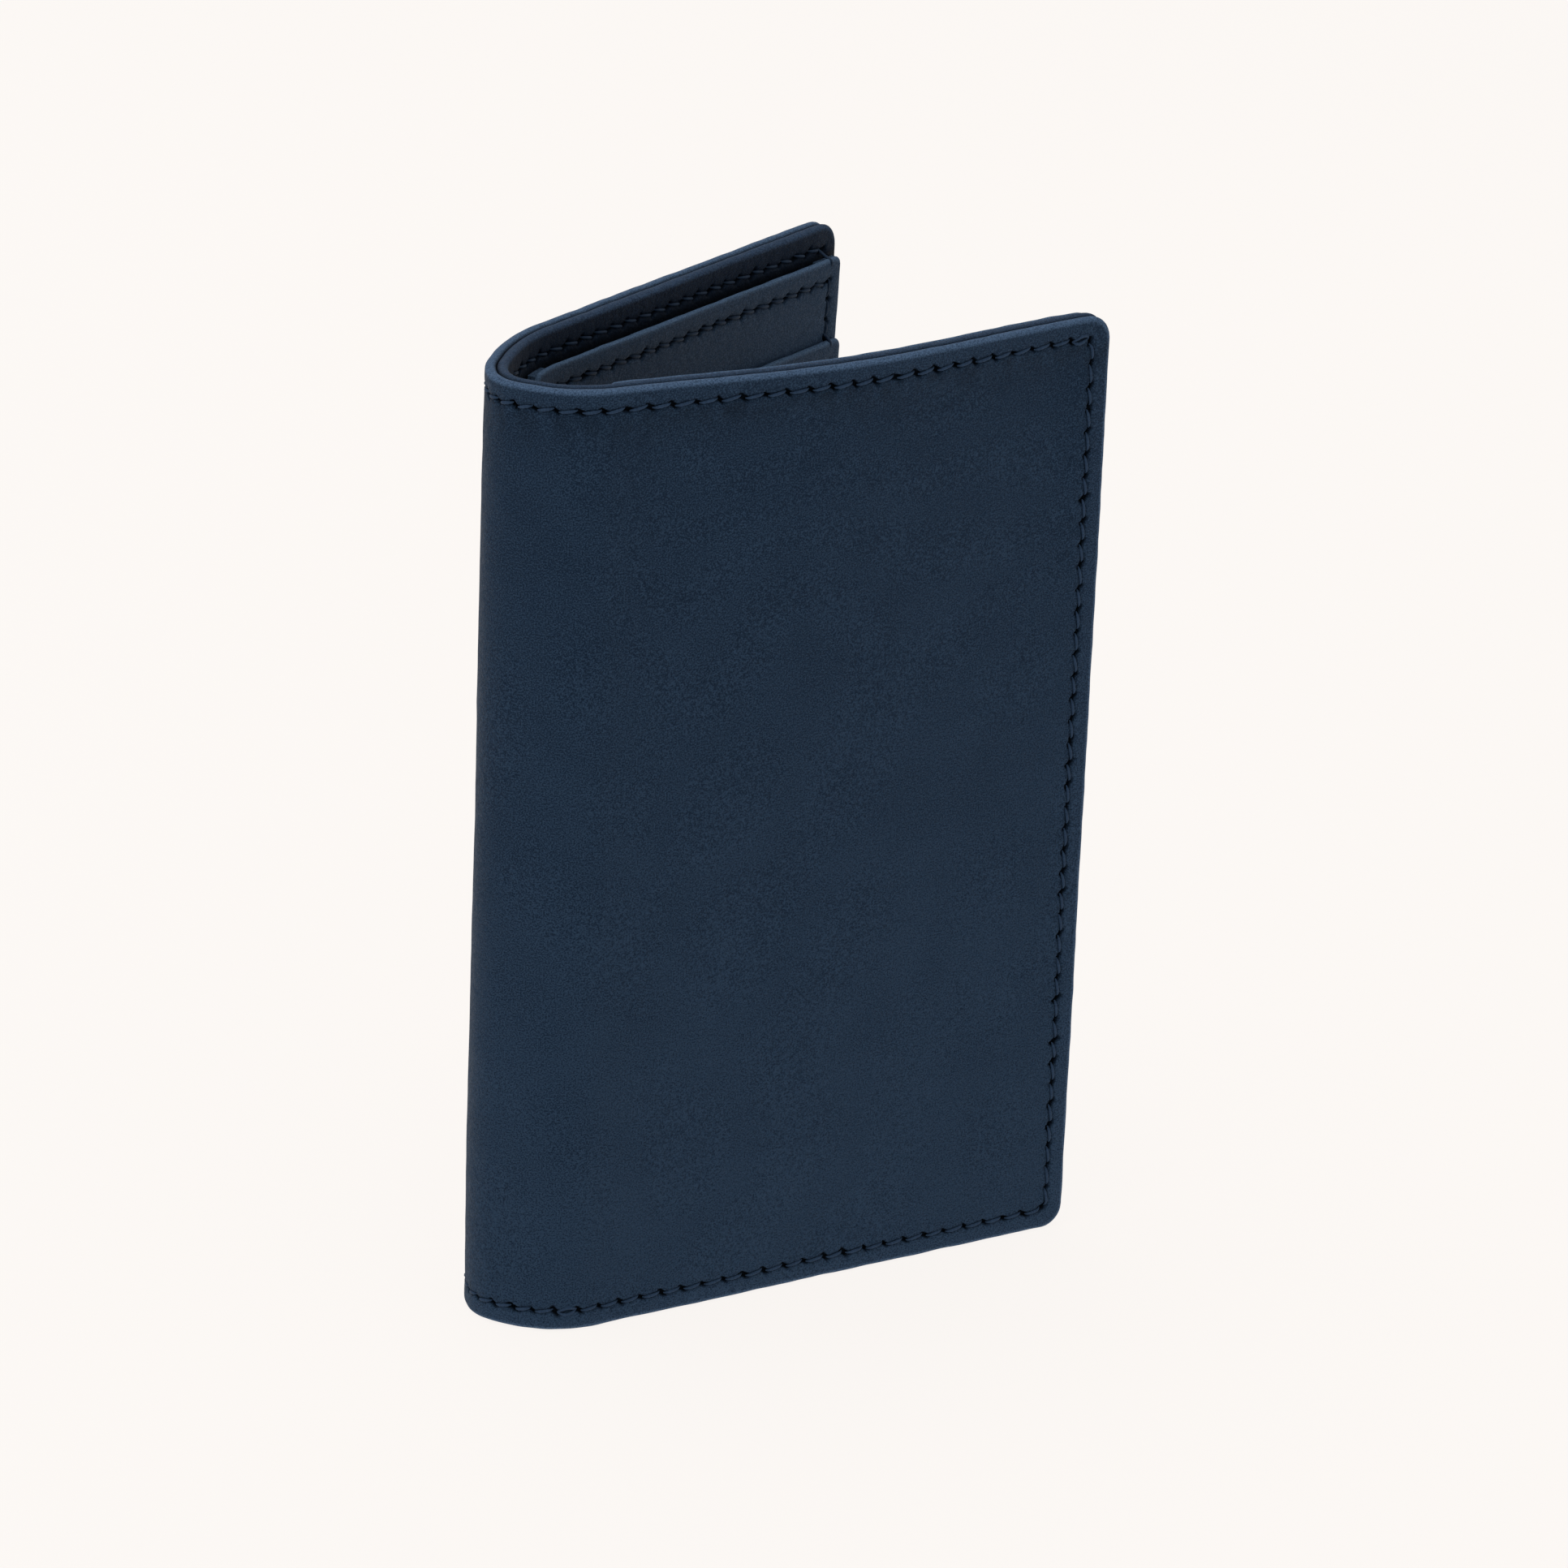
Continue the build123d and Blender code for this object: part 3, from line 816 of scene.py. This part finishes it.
class Nodes:
    """A material and its shader, with short ways to add and link nodes."""

    def __init__(self, name):
        self.material = bpy.data.materials.new(name)
        self.material.use_nodes = True
        self.tree = self.material.node_tree
        self.shader = self.tree.nodes["Principled BSDF"]

    def add(self, kind, settings=None, **inputs):
        """A node with its settings; inputs are values or the outputs to link."""
        node = self.tree.nodes.new(kind)
        for key, value in (settings or {}).items():
            setattr(node, key, value)
        for key, value in inputs.items():
            self.put(node.inputs[key.replace("_", " ")], value)
        return node

    def finish(self, **inputs):
        """Set or link the shader's own sockets, and give the material."""
        for key, value in inputs.items():
            self.put(self.shader.inputs[key.replace("_", " ")], value)
        return self.material

    def put(self, socket, value):
        if isinstance(value, bpy.types.NodeSocket):
            self.tree.links.new(value, socket)
        else:
            socket.default_value = value

    def attribute(self, name, output="Fac"):
        return self.add("ShaderNodeAttribute", {"attribute_name": name}).outputs[output]

    def math(self, operation, a, b):
        node = self.add("ShaderNodeMath", {"operation": operation})
        self.put(node.inputs[0], a)
        self.put(node.inputs[1], b)
        return node.outputs[0]

    def spread(self, value, low, high, to_low, to_high):
        """A value from low to high, mapped to the range from to_low to to_high."""
        node = self.add("ShaderNodeMapRange")
        for socket, number in zip(node.inputs, (value, low, high, to_low, to_high)):
            self.put(socket, number)
        return node.outputs[0]

    def mix(self, share, first, second):
        node = self.add("ShaderNodeMix", {"data_type": "RGBA"})
        self.put(node.inputs[0], share)
        self.put(node.inputs[6], first)
        self.put(node.inputs[7], second)
        return node.outputs[2]

    def bump(self, height, distance, strength, normal=None):
        node = self.add("ShaderNodeBump", Height=height, Distance=distance, Strength=strength)
        if normal is not None:
            self.put(node.inputs["Normal"], normal)
        return node.outputs["Normal"]

    def noise(self, vector, scale, detail, roughness):
        node = self.add(
            "ShaderNodeTexNoise", Vector=vector, Scale=scale, Detail=detail, Roughness=roughness
        )
        return node.outputs["Fac"]


def linear(value):
    """One sRGB channel from 0 to 255, as a linear value."""
    return ((value / 255 + 0.055) / 1.055) ** 2.4 if value > 10 else value / 255 / 12.92


def colour(red, green, blue):
    """An sRGB colour as the linear values that shaders take."""
    return (linear(red), linear(green), linear(blue), 1.0)


# Leather: scales are in features per millimetre, bump distances in metres
CLOUD_SCALE = 0.09
SPECK_SCALE = 4.6
PEBBLE_SCALE = 1.7
PEBBLE_BUMP = 0.0002
SPECK_BUMP = 0.00028
SPECKLE = 1.1
# Painted light and shade: how much paler the foot and darker the top are
FOOT_PAINTED_LIGHT = 0.18
ROUGHNESS = (0.52, 0.72)
# Near-black colour of the painted shade in pits, channels, grooves and other shaded places
PAINTED_SHADE_COLOUR = colour(3, 7, 15)


def leather(name, dark, light, edge):
    """Matt dyed leather: mottled colour, fine pebbled grain, edges paler from wear and a painted
    highlight, painted light and shade.
    """
    nodes = Nodes(name)
    plan = nodes.attribute("plan", "Vector")
    clouds = nodes.noise(plan, CLOUD_SCALE, 4.0, 0.6)
    specks = nodes.noise(plan, SPECK_SCALE, 3.0, 0.65)
    smooth_cells = {"feature": "SMOOTH_F1"}
    cells = nodes.add(
        "ShaderNodeTexVoronoi", smooth_cells, Vector=plan, Scale=PEBBLE_SCALE, Randomness=1.0
    ).outputs["Distance"]
    share = nodes.spread(clouds, 0.35, 0.65, 0.42, 0.58)
    fleck = nodes.spread(specks, 0.3, 0.7, -SPECKLE, SPECKLE)
    height = nodes.add("ShaderNodeSeparateXYZ", Vector=plan).outputs["Y"]
    # Painted light and shade: paler towards the foot, darker towards the top
    share = nodes.math("ADD", share, nodes.spread(height, 0.0, HEIGHT, FOOT_PAINTED_LIGHT, -FOOT_PAINTED_LIGHT))
    base = nodes.mix(nodes.math("ADD", share, fleck), dark, light)
    # Edges paler from wear and a painted highlight, broken into grainy specks
    pale_share = nodes.spread(specks, 0.35, 0.65, 0.25, 1.0)
    base = nodes.mix(nodes.math("MULTIPLY", nodes.attribute("rim"), pale_share), base, edge)
    # Painted shade: the hollow value darkens the colour towards near-black
    base = nodes.mix(nodes.attribute("hollow"), base, PAINTED_SHADE_COLOUR)
    pebbles = nodes.bump(cells, PEBBLE_BUMP, 0.5)
    return nodes.finish(
        Base_Color=base,
        Roughness=nodes.spread(cells, 0.0, 0.7, *ROUGHNESS),
        Specular_IOR_Level=0.1,
        Specular_Tint=(0.6, 0.8, 1.0, 1.0),
        Normal=nodes.bump(specks, SPECK_BUMP, 0.6, pebbles),
    )


def thread_material(name, dark, light):
    """Twisted waxed thread with fine fibres."""
    nodes = Nodes(name)
    plan = nodes.attribute("plan", "Vector")
    fibres = nodes.noise(plan, 7.0, 3.0, 0.6)
    return nodes.finish(
        Base_Color=nodes.mix(fibres, dark, light),
        Roughness=nodes.spread(fibres, 0.3, 0.7, 0.45, 0.7),
        Specular_IOR_Level=0.15,
        Specular_Tint=(0.5, 0.75, 1.0, 1.0),
        Normal=nodes.bump(fibres, 0.00006, 0.6),
    )


def cloth_material():
    """Plain woven lining cloth, whose threads are waves across each other."""
    nodes = Nodes("pocket_cloth")
    position = nodes.add("ShaderNodeTexCoord").outputs["Object"]
    weft, warp = (
        nodes.add(
            "ShaderNodeTexWave",
            {"bands_direction": direction},
            Vector=position,
            Scale=1600.0,
            Distortion=0.6,
        ).outputs["Fac"]
        for direction in ("Z", "X")
    )
    weave = nodes.math("MULTIPLY", weft, warp)
    base = nodes.mix(weave, colour(12, 17, 27), colour(30, 38, 52))
    return nodes.finish(Base_Color=base, Roughness=0.85, Normal=nodes.bump(weave, 0.0001, 0.6))


def board_material():
    """Grey-brown pulp board with fibres."""
    nodes = Nodes("board")
    position = nodes.add("ShaderNodeTexCoord").outputs["Object"]
    fibres = nodes.noise(position, 900.0, 6.0, 0.7)
    base = nodes.mix(fibres, colour(96, 88, 78), colour(150, 140, 124))
    return nodes.finish(Base_Color=base, Roughness=0.9, Normal=nodes.bump(fibres, 0.0001, 0.5))


OUTER = leather("outer_leather", colour(16, 31, 49), colour(42, 61, 83), colour(76, 99, 128))
# The lining is the same leather, its colours darkened as painted shade for the inside of the holder
LINING_PAINTED_SHADE = leather("lining_leather", colour(8, 18, 33), colour(25, 39, 58), colour(50, 68, 92))
# The pockets are the same leather, their colours lightened as painted light against the shade inside the
# holder
POCKET_PAINTED_LIGHT = leather("pocket_leather", colour(31, 47, 66), colour(53, 71, 93), colour(76, 98, 124))
THREADS = thread_material("thread", colour(14, 26, 43), colour(52, 72, 98))
# The thread of the seams inside the holder, coloured darker than the outer seam's thread
DARK_THREADS = thread_material("dark_thread", colour(9, 18, 31), colour(42, 58, 80))

# --- Shell and lining ---

SLACK_SHADE = 0.36
SLACK_START = 0.8
SLACK_REACH = 4.5
CREVICE_SHADE = 0.9
CREVICE_ABOVE = 1.0
CREVICE_BELOW = 12
CREVICE_END = 85.0


def painted_slack_shade(s, z):
    """Painted shade on the shell where it falls in below the top seam, in uneven streaks like creases.
    """
    below = HEIGHT - INSET - z
    creases = 0.6 + 0.4 * uneven(s, 0.6 * z, CREASES, 1.0)
    return SLACK_SHADE * ramp(below, SLACK_START) * bell(below, SLACK_REACH) * creases


shell = Sheet(
    (0.0, PATH_LENGTH),
    (0.0, HEIGHT),
    (CORNER,) * 4,
    (INSET,) * 4,
    lambda s, z: SHELL - LAYER_GAP + 0 * s,
    lambda s, z: 0.0 * s,
    dip=0.8,
    band=0.08,
    shade=painted_slack_shade,
    seed=11,
)


def painted_crevice_shade(s, z):
    """Painted shade on the lining round the first pocket's mouth and behind it, fading out towards the
    spine.
    """
    near = ramp(POCKET_TOP + CREVICE_ABOVE - z, 1.2) * ramp(z - POCKET_TOP + CREVICE_BELOW, 6)
    return CREVICE_SHADE * near * ramp(CREVICE_END - s, 8)


lining = Sheet(
    (0.0, PATH_LENGTH),
    (0.0, HEIGHT),
    (CORNER,) * 4,
    (INSET, INSET, LINING_TOP_INSET, INSET),
    lambda s, z: SHELL + LAYER_GAP + 0 * s,
    lambda s, z: BODY + 0 * s,
    dip=0.35,
    shade=painted_crevice_shade,
    seed=12,
)


def layer_nodes(kind):
    """The CAD nodes that a full-length layer stands for, zone by zone."""
    spine = [(f"{kind}_spine_{k}",) for k in (1, 2, 3)]
    return [(f"{kind}_back",), *spine, (f"{kind}_spine_4", f"{kind}_front")]


split_sheet("leather_shell", shell, OUTER, 0, layer_nodes("outer_shell"))
split_sheet("leather_lining", lining, LINING_PAINTED_SHADE, 1, layer_nodes("lining"))

# --- Passport sleeve ---

sleeve = Sheet(
    SLEEVE_SPAN,
    (FLOOR_CLEARANCE, HEIGHT - FLOOR_CLEARANCE),
    (CORNER, CORNER, SMALL_CORNER, SMALL_CORNER),
    (SIDE_SEAM, SIDE_SEAM, SIDE_SEAM, MOUTH_SEAM),
    lambda s, z: BODY + LAYER_GAP + 0 * s,
    lambda s, z: BODY + SLEEVE + 0 * s,
    rim=0.5,
    seed=13,
)
whole_sheet(
    "sleeve_leather", sleeve, OUTER, ("passport_sleeve",), body="front_cover"
)

# --- Card pockets ---

BASE = POCKET_COUNT - 1


def pocket_top(index):
    """Height of a pocket's mouth; pocket 0 is the highest, and the last is the base panel."""
    return POCKET_TOP - index * POCKET_STEP


def pocket_foot(index):
    return FLOOR_CLEARANCE if index == BASE else pocket_top(index) - POCKET_FACE


def pocket_back(index, z):
    """Depth of the back of a pocket panel, which leans out towards its mouth."""
    top = BODY + POCKET_MOUTH + index * POCKET_STAGGER
    foot = BODY + (BASE_FOOT if index == BASE else POCKET_FOOT + index * POCKET_STAGGER)
    share = (z - pocket_foot(index)) / (pocket_top(index) - pocket_foot(index))
    return foot + (top - foot) * share


def pocket_sheet(index):
    return Sheet(
        POCKET_SPAN,
        (pocket_foot(index), pocket_top(index)),
        (FOOT_CORNER, SMALL_CORNER, SMALL_CORNER, CORNER if index == BASE else FOOT_CORNER),
        (SIDE_SEAM, SIDE_SEAM, MOUTH_SEAM, SIDE_SEAM),
        lambda s, z: pocket_back(index, z) + 0 * s,
        lambda s, z: pocket_back(index, z) + POCKET + 0 * s,
        rim=0.4,
        puff=0.12,
        seed=20 + index,
    )


pockets = [pocket_sheet(index) for index in range(POCKET_COUNT)]
for index, pocket in enumerate(pockets):
    whole_sheet(
        f"pocket_panel_{index + 1}",
        pocket,
        POCKET_PAINTED_LIGHT,
        (f"card_pocket_{index + 1}",),
        bend=(1, 0),
    )


# Slabs take this share of the paler edge colour all over, for wear and a painted highlight
SLAB_WEAR_AND_HIGHLIGHT = 0.3


def slab(name, stations, levels, back, front, material, round_off, corner=0.0):
    """A small closed block of leather or board with softened edges and one rounded corner."""
    gs, gz = np.meshgrid(stations, levels, indexing="ij")
    below = np.clip(corner - (gz - levels[0]), 0, corner)
    share = (stations[-1] - gs) / (stations[-1] - stations[0])
    gs = gs + share * (corner - np.sqrt(corner**2 - below**2))
    sides = [np.stack([gs, gz, depth(gs, gz)], -1).reshape(-1, 3) for depth in (back, front)]
    points = np.concatenate(sides)
    cells = np.arange(gs.size).reshape(gs.shape)
    faces = grid_faces(cells).tolist() + grid_faces(cells + gs.size).tolist()
    loop = np.concatenate([cells[:-1, 0], cells[-1, :-1], cells[:0:-1, -1], cells[0, :0:-1]])
    after = np.roll(loop, -1)
    faces += np.stack([loop, after, after + gs.size, loop + gs.size], -1).tolist()
    mesh = closed_mesh(name, place(*points.T), faces)
    add_values(mesh, points, np.zeros(len(points)), np.full(len(points), SLAB_WEAR_AND_HIGHLIGHT))
    piece = new_object(name, mesh, material)
    bevel = piece.modifiers.new("soften", "BEVEL")
    bevel.width = round_off * MM
    bevel.segments = 3
    bevel.limit_method = "ANGLE"
    return piece


WELT_FOOT_GAP = 0.05
WELT_TOP_GAP = 0.35
WELT_SIDE_GAP = 0.1
WELT_BACK_GAP = 0.02
WELT_SINK = 0.2


def welts():
    """Strips that fill the two sewn sides of the pockets between the panels and the lining."""
    for index in range(POCKET_COUNT):
        foot = pocket_foot(index) + WELT_FOOT_GAP
        top = POCKET_TOP if index == 0 else pocket_foot(index - 1)
        corner = CORNER if index == BASE else 0.0
        levels = np.linspace(foot, top - WELT_TOP_GAP, 9)
        if corner:
            levels = np.append(foot + corner * np.linspace(0, 0.9, 9), levels[1:])
        sides = (("free", POCKET_SPAN[0] + WELT_SIDE_GAP), ("spine", POCKET_SPAN[1] - WELT))
        for word, low in sides:
            piece = slab(
                f"pocket_welt_{word}_{index + 1}",
                np.linspace(low, low + WELT - WELT_SIDE_GAP, 6),
                levels,
                lambda s, z: BODY + WELT_BACK_GAP + 0 * s,
                lambda s, z: pocket_back(index, z) + WELT_SINK,
                POCKET_PAINTED_LIGHT,
                round_off=0.12,
                corner=corner if word == "free" else 0.0,
            )
            attach(piece, bend=(1, 0))


welts()

# --- Stitching ---

# How far from the bottom, the free side and the spine side a seam's own stitches reach
BOTTOM_END = 4.0
FREE_END = 5.0
MOUTH_END = 4.5
SPINE_END = 4.0
MOUTH_SPINE_END = 2.5
SLEEVE_EDGE = 115.0


def mouth_bar(index):
    """The side seam's stitch that steps over a pocket's top edge.

    It rises from the layer behind, crosses the edge, and goes down into the pocket's face.
    """
    top = pocket_top(index)
    behind = BODY if index == 0 else pocket_back(index - 1, top) + POCKET
    front = pocket_back(index, top) + POCKET
    steps = (0.0, 0.35, 0.6, 1.0)
    share = np.linspace(0, 1, ALONG)
    z = np.interp(share, steps, (top + 1.3, top + 0.5, top - 0.3, top - 1.7))
    depth = np.interp(share, steps, (behind - 0.35, behind + 0.5, front + 0.08, front - 0.3))
    s = POCKET_SPAN[0] + SIDE_SEAM + 0.5 - share
    return [v[None] for v in (s, z, depth)] + [np.ones((1, ALONG, 1))]


def everywhere(s, z):
    """Keeps all of a seam."""
    return np.ones(s.shape, bool)


def bare_lining(s, z):
    """Where the lining's seam isn't under a pocket or the sleeve."""
    top = (z > POCKET_TOP) & (s < SLEEVE_SPAN[0])
    bottom = (z < HEIGHT - POCKET_TOP) & (s > POCKET_SPAN[1] - 1) & (s < SLEEVE_SPAN[0])
    return top | bottom


outer_nodes = {zone: (f"seam_spine_{zone}",) for zone in (1, 2, 3)}
outer_nodes[0] = ("outer_seam_back",)
outer_nodes[LAST_ZONE] = ("outer_seam_front", "seam_spine_4")
sew("thread_outside", [stitch_rows(shell, everywhere, TWINS)], THREADS, 0, outer_nodes)

inner_nodes = {0: ("inner_seam_back",), LAST_ZONE: ("inner_seam_front",)}
inner_rows = [stitch_rows(lining, bare_lining)]
inner_rows.append(stitch_rows(sleeve, lambda s, z: s > SLEEVE_EDGE))
for index, pocket in enumerate(pockets):
    floor = pocket_top(index + 1) if index < BASE else FLOOR_CLEARANCE
    inner_rows.append(stitch_rows(pocket, lambda s, z: (s < FREE_END) & (z > floor)))
    inner_rows.append(mouth_bar(index))
bottom_row = stitch_rows(
    pockets[BASE],
    lambda s, z: (z < BOTTOM_END) & (s >= FREE_END) & (s < POCKET_SPAN[1] - SPINE_END),
)
sew("thread_inside", [*inner_rows, bottom_row], DARK_THREADS, 1, inner_nodes)

for index, pocket in enumerate(pockets):
    level = pocket_top(index) - MOUTH_END
    last = POCKET_SPAN[1] - MOUTH_SPINE_END
    row = stitch_rows(pocket, lambda s, z: (z > level) & (s >= FREE_END) & (s < last))
    sew(f"thread_pocket_{index + 1}", [row], DARK_THREADS, 1, {0: (f"pocket_seam_{index + 1}",)})
sleeve_row = stitch_rows(sleeve, lambda s, z: s <= SLEEVE_EDGE)
sew("thread_sleeve", [sleeve_row], DARK_THREADS, 1, {LAST_ZONE: ("sleeve_seam",)})

# --- Hidden pieces ---

BOARD_SPAN = (113.3, 178.2)
BOARD_INSET = 10.1
BOARD_DEPTHS = (0.95, 1.6)
BOARD_LINES = 33

BOARD = board_material()
board = slab(
    "front_board",
    np.linspace(*BOARD_SPAN, BOARD_LINES),
    np.linspace(BOARD_INSET, HEIGHT - BOARD_INSET, BOARD_LINES),
    lambda s, z: BOARD_DEPTHS[0] + 0 * s,
    lambda s, z: BOARD_DEPTHS[1] + 0 * s,
    BOARD,
    round_off=0.1,
)
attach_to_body(board, "front_cover")
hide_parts("stiffener_front")

CLOTH = cloth_material()
for name, material in (
    ("stiffener_back", BOARD),
    ("pocket_tongue_1", CLOTH),
    ("pocket_tongue_2", CLOTH),
    ("pocket_tongue_3", CLOTH),
):
    mesh = frame["nodes"][name].data
    mesh.materials.clear()
    mesh.materials.append(material)

# --- Floor, light and camera ---

# From here on, lengths are in metres
EYE = (-0.64434, -0.71261, 0.4590)
LOOK = (0.6275, 0.6826, -0.3746)
ROLL = math.radians(2.27)
LENS = 167.85
FLOOR_HALF = 6.0
FLOOR_DROP = 0.0002
LAMP_TARGET = Vector((0, 0, 0.07))


def make_floor():
    """A pale floor that glows a little, so that it has no dark horizon."""
    nodes = Nodes("floor")
    spots = nodes.add("ShaderNodeTexNoise", Scale=40.0, Detail=2.0)
    base = nodes.mix(spots.outputs["Fac"], (0.05, 0.048, 0.046, 1), (0.06, 0.058, 0.056, 1))
    material = nodes.finish(
        Base_Color=base,
        Emission_Color=(0.973, 0.938, 0.91, 1),
        Emission_Strength=0.94,
        Roughness=0.9,
        Specular_IOR_Level=0.1,
    )
    work = bmesh.new()
    bmesh.ops.create_grid(work, x_segments=1, y_segments=1, size=FLOOR_HALF)
    mesh = bpy.data.meshes.new("floor")
    work.to_mesh(mesh)
    work.free()
    floor = new_object("floor", mesh, material)
    floor.location.z = -FLOOR_DROP


def make_light(name, place_at, size, power):
    light = bpy.data.lights.new(name, "AREA")
    light.shape = "DISK"
    light.size = size
    light.energy = power
    lamp = bpy.data.objects.new(name, light)
    lamp.location = place_at
    lamp.rotation_euler = (LAMP_TARGET - lamp.location).to_track_quat("-Z", "Y").to_euler()
    bpy.context.scene.collection.objects.link(lamp)


def make_camera():
    camera = bpy.data.cameras.new("camera")
    camera.sensor_width = 36.0
    camera.lens = LENS
    camera.clip_start = 0.05
    body = bpy.data.objects.new("camera", camera)
    turn = Vector(LOOK).to_track_quat("-Z", "Y").to_matrix() @ Matrix.Rotation(ROLL, 3, "Z")
    body.matrix_world = Matrix.Translation(EYE) @ turn.to_4x4()
    bpy.context.scene.collection.objects.link(body)
    bpy.context.scene.camera = body


def make_world():
    world = bpy.data.worlds.new("studio")
    world.use_nodes = True
    background = world.node_tree.nodes["Background"]
    background.inputs["Color"].default_value = (1.0, 0.985, 0.97, 1)
    background.inputs["Strength"].default_value = 0.6
    bpy.context.scene.world = world


make_floor()
make_world()
make_light("top_light", (-0.25, 0.15, 1.1), 1.2, 7.0)
make_camera()
bpy.context.scene.view_settings.view_transform = "Standard"
